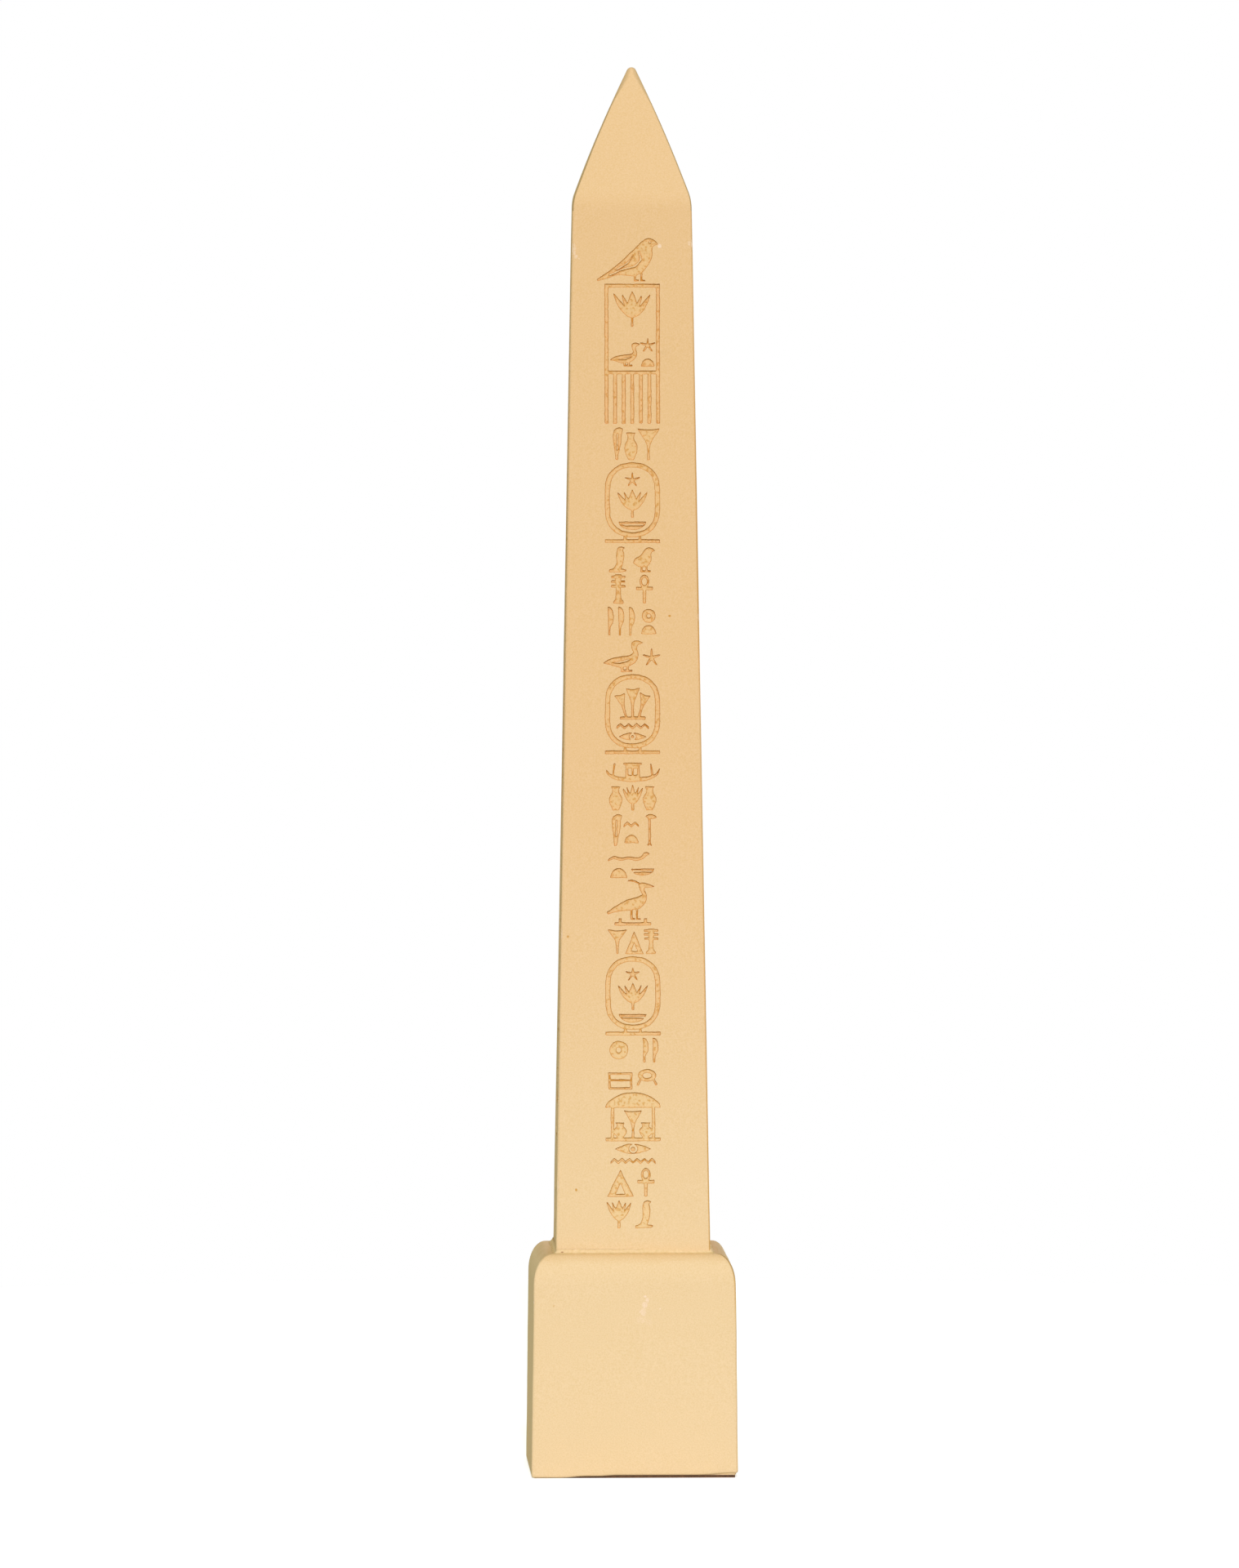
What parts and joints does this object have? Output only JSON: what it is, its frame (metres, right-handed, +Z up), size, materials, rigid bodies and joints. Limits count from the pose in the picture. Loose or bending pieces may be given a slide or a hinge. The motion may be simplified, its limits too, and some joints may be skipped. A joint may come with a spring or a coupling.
{
  "type": "prop obelisk",
  "caption": "Tall square obelisk with a block plinth, a tapered shaft carved with a column of ornament, and a pointed cap; a free-standing display prop.",
  "frame": {"origin": "on the floor, under the middle of the plinth", "axes": "+Z up; the face seen in the picture looks towards -Y"},
  "size_m": [0.293, 0.293, 2],
  "materials": {
    "sand_coat": "matt sand-coloured hard coat over foam, with a fine stipple",
    "filler": "matt sand-coloured filler bead, hand smoothed",
    "board": "bare brown hardboard"
  },
  "bodies": {
    "root": {"base_board": "board", "plinth": "sand_coat", "foot_fillet": "filler", "shaft": "sand_coat", "pyramidion": "sand_coat"}
  },
  "joints": []
}
